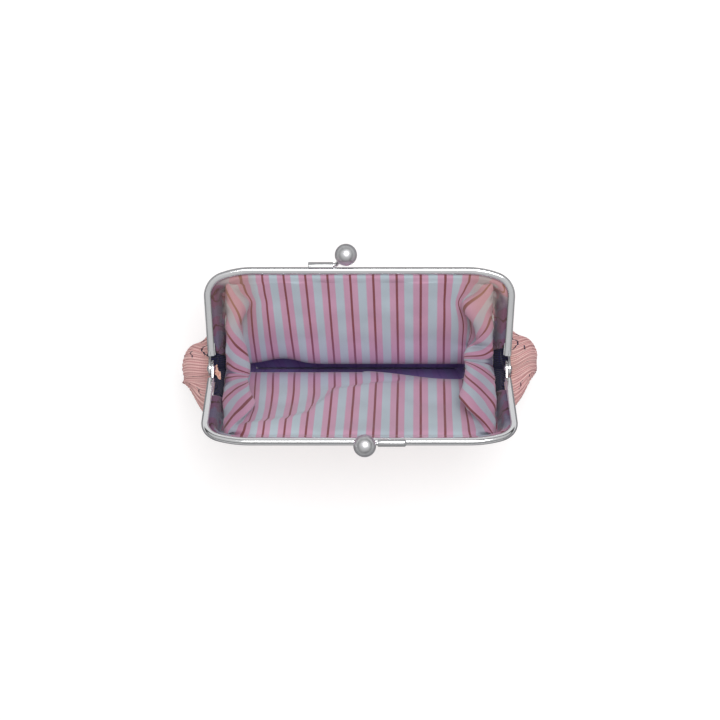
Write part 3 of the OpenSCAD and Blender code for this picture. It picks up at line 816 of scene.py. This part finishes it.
# %% A curve through control points
def headings(points):
    steps = [q - p for p, q in zip(points, points[1:])]
    inner = [(p.normalized() * q.length + q.normalized() * p.length).normalized()
             for p, q in zip(steps, steps[1:])]
    return [steps[0].normalized(), *inner, steps[-1].normalized()]


def curve_point(points, heads, t):
    i = min(int(t), len(points) - 2)
    k, p, q = t - i, points[i], points[i + 1]
    if i == 0:
        return p.lerp(q, k)
    return ((2 * k ** 3 - 3 * k ** 2 + 1) * p + (3 * k ** 2 - 2 * k ** 3) * q
            + (k ** 3 - 2 * k ** 2 + k) * pull_at(points, i, i) * heads[i]
            + (k ** 3 - k ** 2) * pull_at(points, i, i + 1) * heads[i + 1])


def pull_at(points, i, j):
    """How strongly the curve between points i and i + 1 follows its heading at point j."""
    reach = (points[i + 1] - points[i]).length
    if j > i:
        other = (points[j + 1] - points[j]).length if j + 1 < len(points) else reach
    else:
        other = (points[i] - points[i - 1]).length
    return min(reach, 2.2 * other)


# %% [markdown]
# The sheet itself starts as a flat grid: a share across gives the run, a share down gives the place
# on the column, and each vertex moves there. The grid's texture coordinates are replaced by the
# cloth's own, counted along the threads.

# %% From a grid to a sheet
def make_sheet(s, kind, slot, columns, rows, shape, thickness, material):
    """shape holds three functions: a column's control points, how a point moves away from the curve
    through them, and its place on the flat cloth."""
    controls, detail, threads = shape
    bm = bmesh.new()
    uv = bm.loops.layers.uv.new("cloth")
    bmesh.ops.create_grid(bm, x_segments=columns, y_segments=rows, size=0.5)
    bm.verts.index_update()
    column_of, places = {}, {}
    for v in bm.verts:
        u, w = round(v.co.x + 0.5, 6), round(0.5 - v.co.y, 6)
        column_of.setdefault(u, []).append((w, v))
    for u, column in column_of.items():
        across = 2 * u - 1
        side = -1 if across < 0 else 1
        run = RUN * abs(across) * (1.25 - 0.25 * abs(across))
        points = controls(s, side, run)
        heads = headings(points)
        length, before = 0, None
        for w, v in sorted(column, key=lambda item: item[0]):
            t = w * (len(points) - 1)
            p = detail(s, curve_point(points, heads, t), side, run, t)
            length += (p - before).length if before else 0
            before = p
            places[v.index] = threads(s, side, run, t, length, p)
            v.co = Vector((side * p.x, p.y, p.z)) * MM
    for face in bm.faces:
        for loop in face.loops:
            loop[uv].uv = places[loop.vert.index]
    area = sum(face.calc_area() for face in bm.faces)
    half = HALVES[s]
    sheet = make_piece(f"{half}_{kind}", bm, material, None, slot, f"{slot}_{half}_panel")
    wall = sheet.modifiers.new("thickness", "SOLIDIFY")
    wall.thickness = thickness * MM
    wall.offset = 0
    wall.use_even_offset = False
    print(sheet.name, "area in square mm:", round(area / MM ** 2))
    return sheet, area


# %% [markdown]
# Seen from above, the lining does four things. Below the bars it slopes down to a narrow dark slit,
# where the two panels nearly meet. Beside the arms it first drops into a puckered valley. Then it
# rolls up over a plump lobe of wadding, which overhangs that valley on one side and the slope on the
# other. Below the slit it opens again into the bottom of the pouch. So a column beside an arm has
# more bends than one below a bar, and each level below fades from one kind to the other round the
# corner.

# %% Levels of the lining
SLIT_Z, BOTTOM_Z = 36, 9
LIP = 2.0
#   half width, back reach, front reach, where the fall starts and ends, drop below the arm, skew
LINING_LEVELS = [
    (86.4, 54.5, 39.5, 99, 161, 4.5, 1.5),
    (81.0, 49.0, 35.0, 90, 158, 1.0, 3.0),
    (74.6, 43.0, 24.5, 82, 155, 4.5, 5.0),
    (75.6, 38.5, 21.5, 80, 155, 17.0, 4.0),
    (75.0, 20.0, 12.5, 70, 167, 33.0, 2.0),
    (74.5, LIP, LIP, 70, 167, HINGE_Z - SLIT_Z, 0.0),
]
#   between which runs the cloth turns from a slope below a bar into a lobe beside an arm
SIDE = {BACK: (73, 106), FRONT: (66, 100)}
#   the crest of each lobe, as (distance from the seam, half width): back and front, left and right
CREST = {
    (BACK, -1): [(0, 72.0), (5.5, 71.5), (15, 73.6), (22, 75.5),
                 (28, 76.6), (35, 75.0), (41, 71.5), (48, 68)],
    (BACK, 1): [(0, 68.5), (6, 68.5), (12, 70.5), (17.5, 76.5),
                (23, 75.0), (31, 73.0), (39, 69.5), (46, 65)],
    (FRONT, -1): [(0, 72.0), (5, 73.3), (14, 71.5), (22, 67.5), (27, 66)],
    (FRONT, 1): [(0, 68.5), (9, 67.5), (18, 63.7), (25, 61.8)],
}
SLIT_HALF = {-1: 74.5, 1: 70.0}


def spread(run, half):
    """How far out a column lies: the run itself below the bar, never more than the half width."""
    k = run / half
    return half * k / (1 + k ** 10) ** 0.1


def arm_share(s, run):
    return smooth(*SIDE[s], run)


# %% [markdown]
# A column of lining has eleven control points, counted from 0: three at the channel, one on each of
# the six levels, of which number 8 is the slit's lip, and two in the bottom. The folds further down
# count their places on a column in the same way.

# %% Control points of the lining
MOUTH = {s: placed(s, 0, FRAME_H - CLOTH_OUT, LINING_B) for s in HALVES}
MOUTH_Y = {s: abs(MOUTH[s].y) for s in HALVES}


def lining_controls(s, side, run):
    place, _, free = station(run)
    arm = arm_share(s, run)
    rise = place.y * (1 - free) * math.cos(math.radians(OPEN[s]))
    arm_y = max(1, abs(place.y * (1 - free) * math.sin(math.radians(OPEN[s]))))
    points = [frame_point(s, side, run, depth, b, notch_point(s, out, drop), tuck)
              for depth, b, out, drop, tuck in (
                  (edge_depth(run), LINING_B, -1.7, 4.2, (7.6, 9.5)),
                  (CLOTH_OUT, LINING_B, -1.3, 3, (6, 8.5)),
                  (9.7 + 3.4 * arm, CHANNEL_T + 8.6 * arm, -0.8, 1.4, (-1.2, -4)))]
    for i, (half, back, front, fall_from, fall_to, drop, skew) in enumerate(LINING_LEVELS):
        sooner = 12 if i in (2, 3) and (s, side) == (FRONT, 1) else 0
        reach = back if s == BACK else front
        y = SEAM_GAP / 2 + reach * (1 - smooth(fall_from - sooner, fall_to - sooner, run))
        slope = SLIT_Z + (MOUTH[s].z - SLIT_Z) * (y - LIP) / (MOUTH_Y[s] - LIP)
        roll = HINGE_Z + rise * min(1, y / arm_y) - drop
        x = spread(run, half)
        if i in (2, 3):
            crest = between(CREST[s, side], y) + i - 2
            x += (crest - x) * smooth(SIDE[s][0] + 4, SIDE[s][1] - 4, run)
        elif i >= 4:
            x = spread(run, SLIT_HALF[side] + (5 - i) * 1.5)
        moved = side * skew * smooth(112, 152, run)
        points.append(Vector((x, s * y + moved, slope + (roll - slope) * arm)))
    lip = points[-1]
    opened = lip.y + s * 5.5 * (1 - smooth(100, 160, run))
    points.append(Vector((lip.x, opened, SLIT_Z - 13)))
    points.append(Vector((lip.x * 0.93, s * SEAM_GAP / 2, BOTTOM_Z)))
    return points


# %% [markdown]
# The stripes tell where each column lies. They were counted in the photograph: the cotton is pushed
# a little tighter into the left end of the channel than into the right, the stripes pass the corners
# at a slant, and all of them lean to the right on their way down the back panel.

# %% Where the stripes lie
CORNER_FROM = 74
CORNER_STRIPES = [(CORNER_FROM, 0), (86, 0.5), (110.5, 1.15), (131, 2.15), (148, 3.15), (RUN, 3.9)]


def stripe_at(s, side, run):
    x = side * min(run, CORNER_FROM) * (1 if s == BACK else 1.021)
    count = 5.415 + x / 14.78 - (x / 143.9) ** 2
    return count + side * between(CORNER_STRIPES, max(run, CORNER_FROM))


#   shift to the right, at the slit, of a thread that leaves the bar at x
LEAN = [(-78, 2.0), (-62, 4.6), (-49, 6.0), (-34, 5.0), (-20, 4.1), (-5, 3.6),
        (10, 2.7), (25, 1.7), (41, 1.0), (56, 0.9), (75, 2.0)]


def lean(s, x):
    return between(LEAN, x) + (0.022 * x if s == FRONT else 0)


# %% [markdown]
# On top of the levels come the small movements of real cloth: a pinch where each lobe starts, a slit
# that is wider at its ends, a low pleat along the front panel whose edge shifts the stripes, puckers
# beside the arms, and slow ripples everywhere. Each one is a short function of the place.

# %% Folds and ripples of the lining
def bump_at(value, centre, width):
    return math.exp(-((value - centre) / width) ** 2)


def ripple(p, scale, height, seed=0.0):
    return height * noise.noise(Vector((p.x, p.y, p.z)) / scale + Vector((seed, 0, 0)))


PLEAT = [(-90, -36), (-47, -32), (-34, -28), (-18.6, -13.5), (-5.6, -12.2),
         (9.4, -9.6), (25, -8.4), (40, -7), (90, -6)]


def pleat_share(x, y):
    """1 just on the bar's side of the pleat's edge, less towards the bar, and 0 beyond the edge."""
    past = between(PLEAT, x) - y
    return within(0, 1.2, 4, 22, past)


def knotted_fold(x, y):
    """The right lobe is pinched across: a plump band with a sharp valley behind it."""
    across = bump_at(x, 75, 8)
    return across * (2.6 * bump_at(y, 8.5, 3.4) - 4.6 * bump_at(y, 14.6 - 0.1 * (x - 75), 1.7))


# %% [markdown]
# The folds work on a point p of a column, at its place t between the control points. The stripes
# are counted separately, so that gathered cloth shows them crowded and the pleat shows them cut off.

# %% Each point of the lining
PLEAT_JUMP = 0.13


def lining_detail(s, p, side, run, t):
    x, arm = side * p.x, arm_share(s, run)
    down = 1 - max(0, abs(p.y) - LIP) / (MOUTH_Y[s] - LIP)
    deep = within(6.9, 8, 8.3, 9.3, t)
    loose = within(1.2, 3, 7, 8, t)
    pucker = within(1, 2, 2.4, 3.6, t) * arm
    p.x += side * lean(s, x) * down * (1 - arm)
    if s == BACK:
        p.x -= 5.0 * (side > 0) * bump_at(abs(p.y), 43, 10) * bump_at(p.x, 72, 9)
        p.y += (0.8 + 3.6 * bump_at(x, -56, 13)) * deep
    else:
        p.y -= (0.6 * (x < 0) + 5.2 * smooth(0, 60, x)) * deep
        lift = pleat_share(x, p.y) * within(2.5, 4, 7, 8, t) * (1 - arm)
        p.y += 1.6 * lift
        p.z += 0.9 * lift
    p.z += ripple(p, 16, 1.6) * loose + ripple(p, 4.2, 4.6, 7.0) * pucker
    p.y += ripple(p, 22, 1.2, 3.0) * loose + ripple(p, 4.6, 3.4, 5.0) * pucker
    p.x += ripple(p, 14, 1.4, 9.0) * loose * arm
    if s == BACK and side > 0:
        p.z += knotted_fold(p.x, p.y) * loose * smooth(2.6, 3.4, t)
    return p


def lining_threads(s, side, run, t, length, p):
    arm = arm_share(s, run)
    gathered = arm * within(0.6, 1.2, 2.6, 3.3, t)
    stripe = stripe_at(s, side, run)
    stripe += (ripple(p, 7.0, 0.55, 21.0) + ripple(p, 2.6, 0.12, 4.0)) * gathered
    if s == FRONT:
        past = smooth(0, 1, p.y - between(PLEAT, side * p.x))
        stripe -= PLEAT_JUMP * past * within(2, 3, 6.5, 8, t) * (1 - arm)
    return stripe, length / STRIPE


LINING_SHAPE = (lining_controls, lining_detail, lining_threads)
LINING_GRID = (300, 108)
sheets = {}
for s in HALVES:
    sheets["lining", s] = make_sheet(s, "cotton_lining", "lining", *LINING_GRID, LINING_SHAPE,
                                     LINING_T, cotton)

# %% [markdown]
# The knitted outside leaves the channel, turns out and down over the wadding, and swells into a full
# body that shows on both sides of the frame. Below the hinges it turns in to the notch, where it is
# sewn to the lining. The side seams pull in a little, and the ribs fan out from the hinges.

# %% Levels of the knit
POUCH_W, FULL_Z, BASE_W, BASE_D = 234, 36, 150, 38
BACK_BELLY, FRONT_BELLY, SEAM_FRONT = 46, 40, 8
#   half width, back reach, front reach, height, how far in front the side seam lies
KNIT_LEVELS = [
    (POUCH_W * 0.485, BACK_BELLY, FRONT_BELLY, HINGE_Z * 0.72, 0),
    (POUCH_W * 0.5, BACK_BELLY * 0.86, FRONT_BELLY * 0.9, FULL_Z, SEAM_FRONT * 0.3),
    (POUCH_W * 0.41, BACK_BELLY * 0.6, FRONT_BELLY * 0.68, FULL_Z * 0.17, SEAM_FRONT * 0.6),
    (BASE_W * 0.5, BASE_D * 0.5, BASE_D * 0.5, KNIT_T * 0.5, SEAM_FRONT),
    (BASE_W * 0.42, -SEAM_FRONT, SEAM_FRONT, KNIT_T * 0.5, SEAM_FRONT),
]
ROUNDNESS = 0.95


def knit_level(s, run, level):
    half, back, front, z, seam = level
    phase = math.pi / 2 * (run / RUN) ** 1.25
    reach = back + seam if s == BACK else front - seam
    y = SEAM_GAP / 2 + (reach - SEAM_GAP / 2) * max(0, math.cos(phase)) ** ROUNDNESS
    return Vector((half * math.sin(phase) ** ROUNDNESS, s * y - seam, z))


def knit_controls(s, side, run):
    return [
        frame_point(s, side, run, edge_depth(run), KNIT_B, notch_point(s, -1.2, 5), (7, 9)),
        frame_point(s, side, run, CLOTH_OUT, KNIT_B, notch_point(s, CLOTH_OUT - 1, KNIT_T), (1, 3)),
        frame_point(s, side, run, CLOTH_OUT + KNIT_T, FACE_GAP + 2 * CHANNEL_T,
                    notch_point(s, 10, 4 * KNIT_T)),
        *[knit_level(s, run, level) for level in KNIT_LEVELS],
    ]


# %% [markdown]
# The knitted body swells beside the arms and is drawn in at its side seams, which lie a little to
# the front on the left. Fine gathers run down from the hinges, and the rest moves in slow waves.

# %% Each point of the knit
#   how far the side seams turn aside, and how far the left and the right one pull in
SEAM_TILT = 5.5
SEAM_PULL = {-1: 2.0, 1: 1.1}
#   by half and side: how far the body swells to the front beside the arm, between which half widths
SWELL = {(BACK, -1): (4, 100, 112), (BACK, 1): (0, 100, 112),
         (FRONT, -1): (9, 101, 113), (FRONT, 1): (5, 104, 114)}


def below_frame(t):
    """1 on the free part of a knitted column, 0 in the channel and on the base."""
    return within(1.3, 2.6, 5.4, 6, t)


def knit_shape(s, p, side, run, t):
    """The slow movements of the knit, which the wadding follows too."""
    free = below_frame(t)
    swell, full, none = SWELL[s, side]
    p.y -= swell * within(84, 99, full, none, p.x) * free * (1 - smooth(RUN - 28, RUN - 6, run))
    p.x -= SEAM_PULL[side] * smooth(RUN - 16, RUN, run) ** 2 * free
    near_seam = smooth(98, 114, p.x) if side > 0 else smooth(RUN - 22, RUN, run)
    p.y += side * SEAM_TILT * near_seam * free
    p.z = max(p.z + ripple(p, 26, 1.2, 2.0) * free, KNIT_T)
    return p


def knit_detail(s, p, side, run, t):
    gather = math.cos(run / 3.4 * math.tau) * smooth(110, 135, run)
    gather *= 1 - 0.5 * smooth(RUN - 16, RUN, run)
    p = knit_shape(s, p, side, run, t)
    p.x += 0.45 * gather * below_frame(t)
    return p


def knit_threads(s, side, run, t, length, p):
    return side * run / RIB, length / COURSE


KNIT_SHAPE = (knit_controls, knit_detail, knit_threads)
KNIT_GRID = (440, 84)
for s in HALVES:
    sheets["knit", s] = make_sheet(s, "knitted_panel", "knit", *KNIT_GRID, KNIT_SHAPE,
                                   KNIT_T, knit_finish)

# %% [markdown]
# The wadding fills the space between knit and lining. Its form is worked out from both: one grid
# lies near the lining, and extruding it gives a second face that is moved near the knit.

# %% Wadding
#   from the frame down: where each row lies on the lining's columns, and the last on the knit's
WADDING_ROWS = {
    "bar": [5, 6.5, 7.2, 8, 8.5, 9, 9.25, 9.5, 10],
    "arm": [3.75, 4.2, 5, 6.2, 7.4, 8.5, 9, 9.5, 10],
    "hinge": [5.6, 6, 6.5, 7, 7.8, 8.5, 9, 9.5, 10],
    "knit": [2.5, 3, 3.5, 4, 4.5, 5, 5.5, 6, 7],
}
#   how far the two faces lie on the way from the lining to the knit
WADDING_FROM, WADDING_TO = 0.18, 0.68


def row_at(rows, share):
    place = share * (len(rows) - 1)
    i = min(int(place), len(rows) - 2)
    return rows[i] + (rows[i + 1] - rows[i]) * (place - i)


def wadding_point(s, across, w, share):
    side, run = (-1 if across < 0 else 1), RUN * abs(across)
    arm = arm_share(s, run)
    hinge = smooth(114, 128, run)
    bar, beside, near_hinge, knit = (row_at(rows, w) for rows in WADDING_ROWS.values())
    beside = beside * (1 - hinge) + near_hinge * hinge
    t_in = bar * (1 - arm) + beside * arm
    t_out = knit + (0.8 * arm + 0.4 * hinge) * max(0, 1 - 4 * w)
    inner, outer = lining_controls(s, side, run), knit_controls(s, side, run)
    p = knit_shape(s, curve_point(outer, headings(outer), t_out), side, run, t_out)
    q = curve_point(inner, headings(inner), t_in).lerp(p, share)
    return Vector((side * q.x, q.y, q.z)) * MM


def make_wadding(s):
    bm = bmesh.new()
    bmesh.ops.create_grid(bm, x_segments=110, y_segments=40, size=0.5)
    result = bmesh.ops.extrude_face_region(bm, geom=bm.faces[:])
    copies = {g for g in result["geom"] if isinstance(g, bmesh.types.BMVert)}
    for v in bm.verts:
        share = WADDING_TO if v in copies else WADDING_FROM
        v.co = wadding_point(s, 2 * v.co.x, 0.5 - v.co.y, share)
    name = HALVES[s]
    return make_piece(name + "_wadding", bm, wadding, None, "padding", "padding_" + name)


waddings = {s: make_wadding(s) for s in HALVES}

# %% [markdown]
# Each sheet and each wadding has its placement baked into its mesh.

for s, name in HALVES.items():
    for piece in (sheets["lining", s][0], sheets["knit", s][0], waddings[s]):
        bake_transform(piece)

# %% [markdown]
# Each sheet is cut from flat cloth: as long as the channel's run from side notch to side notch, and
# as wide as the way from the channel to the bottom seam. It is then gathered into the frame.

# %% [markdown]
# A tuft of peach yarn shows inside the left hinge, where an end was left long. Each strand is a thin
# tube along a short curl.

# %% Yarn tuft
STRANDS, STRAND_R = 7, 0.55
TUFT_ROOT = Vector((-91.5, -3.0, HINGE_Z - 5))


def strand_point(turn, share):
    """The place at a share of the strand's length, from its root to its end."""
    reach = Vector((0.5 * math.cos(turn), 4.2 * math.sin(turn) - 1.0, 0))
    curl = Vector((1.4 * math.sin(turn + 4 * share), math.cos(turn + 5 * share),
                   3.4 * math.sin(math.pi * share)))
    return (TUFT_ROOT + reach * share * 1.4 + curl) * MM


def make_tuft():
    bm = bmesh.new()
    for k in range(STRANDS):
        curve = bpy.data.curves.new("strand", "CURVE")
        curve.dimensions = "3D"
        curve.bevel_depth = STRAND_R * MM
        curve.bevel_resolution = 2
        spline = curve.splines.new("NURBS")
        spline.points.add(4)
        for i, point in enumerate(spline.points):
            point.co = (*strand_point(k * 2.4, i / 4), 1)
        spline.use_endpoint_u = True
        spline.order_u = 3
        strand = bpy.data.objects.new("strand", curve)
        mesh = bpy.data.meshes.new_from_object(strand)
        bm.from_mesh(mesh)
        bpy.data.objects.remove(strand)
    bmesh.ops.holes_fill(bm, edges=bm.edges)
    return make_piece("yarn_tuft", bm, peach_yarn, "pouch", "knit")


make_tuft()

# %% [markdown]
# The floor is a plain white disc. The photograph's background is pure white, so the floor adds a
# little light of its own for the camera, and keeps the soft shadow where the pouch stands.

# %% Floor
FLOOR_R, FLOOR_Z = 0.62, -0.0003
FLOOR_GLOW = 0.62


def make_floor():
    bm = bmesh.new()
    bmesh.ops.create_circle(bm, segments=96, radius=FLOOR_R, cap_ends=True)
    bmesh.ops.translate(bm, verts=bm.verts, vec=(0, 0, FLOOR_Z))
    mesh = bpy.data.meshes.new("floor")
    bm.to_mesh(mesh)
    bm.free()
    floor = bpy.data.objects.new("floor", mesh)
    scene.collection.objects.link(floor)
    finish = Finish("white_floor")
    rays = finish.node("LightPath").outputs
    tone = finish.shade(rays["Is Glossy Ray"], (244, 244, 244), (140, 140, 142))
    tone = finish.mix(rays["Is Camera Ray"], tone, paint(186, 186, 186))
    finish.set(Base_Color=tone, Roughness=0.9, Specular_IOR_Level=0.0, Emission_Color=(1, 1, 1, 1))
    finish.set(Emission_Strength=finish.times(rays["Is Camera Ray"], FLOOR_GLOW))
    mesh.materials.append(finish.material)


make_floor()

# %% [markdown]
# Soft light comes from a wide lamp high above, a little behind and to the right, with an even glow
# all round. The camera sees white beyond the floor. Plating only looks like plating when it has
# dark and light to mirror, so reflections see a studio of their own: a dark floor, a pale wall, a
# dark gap under the ceiling and a bright ceiling, all a bit darker in front.

# %% Light
LAMP_PLACE, LAMP_SIZE, LAMP_POWER = (0.25, 0.55, 2.4), 1.3, 28
#   grey by the height of a direction, from -1 straight down to 1 straight up
GLOW = [(-1, 0.3), (0, 0.3), (0.6, 0.6), (1, 0.62)]
MIRRORED = [(-1, 0.1), (-0.2, 0.12), (-0.12, 0.78), (0.08, 0.8), (0.15, 0.04),
            (0.34, 0.06), (0.42, 0.5), (0.8, 0.62), (0.95, 0.7), (1, 0.85)]


def make_lamp():
    lamp = bpy.data.lights.new("high_lamp", "AREA")
    lamp.shape = "DISK"
    lamp.size = LAMP_SIZE
    lamp.energy = LAMP_POWER
    piece = bpy.data.objects.new("high_lamp", lamp)
    piece.location = LAMP_PLACE
    piece.rotation_euler = Vector(LAMP_PLACE).to_track_quat("Z", "Y").to_euler()
    scene.collection.objects.link(piece)


def grey_by_height(sky, height, stops):
    share = sky.node("MapRange", Value=height, From_Min=-1.0).outputs["Result"]
    ramp = sky.node("ValToRGB")
    sky.put(ramp.inputs[0], share)
    band = ramp.color_ramp.elements
    for place, grey in stops[1:-1]:
        band.new(0.5 + place / 2).color = (grey, grey, grey, 1)
    for element, (place, grey) in ((band[0], stops[0]), (band[-1], stops[-1])):
        element.position = 0.5 + place / 2
        element.color = (grey, grey, grey, 1)
    return ramp.outputs[0]


def make_sky():
    scene.world = bpy.data.worlds.new("studio")
    scene.world.use_nodes = True
    sky = Wiring(scene.world.node_tree)
    _, forward, height = sky.axes(sky.node("TexCoord").outputs["Generated"])
    rays = sky.node("LightPath").outputs
    glow = grey_by_height(sky, height, GLOW)
    mirrored = grey_by_height(sky, height, MIRRORED)
    lit = sky.node("MapRange", Value=forward, From_Min=-1.0, To_Min=0.72, To_Max=1.12)
    mirrored = sky.mix(lit.outputs["Result"], (0, 0, 0, 1), mirrored)
    colour = sky.mix(rays["Is Glossy Ray"], glow, mirrored)
    colour = sky.mix(rays["Is Camera Ray"], colour, (1, 1, 1, 1))
    sky.put(sky.nodes["Background"].inputs[0], colour)


make_lamp()
make_sky()
scene.view_settings.view_transform = "Standard"
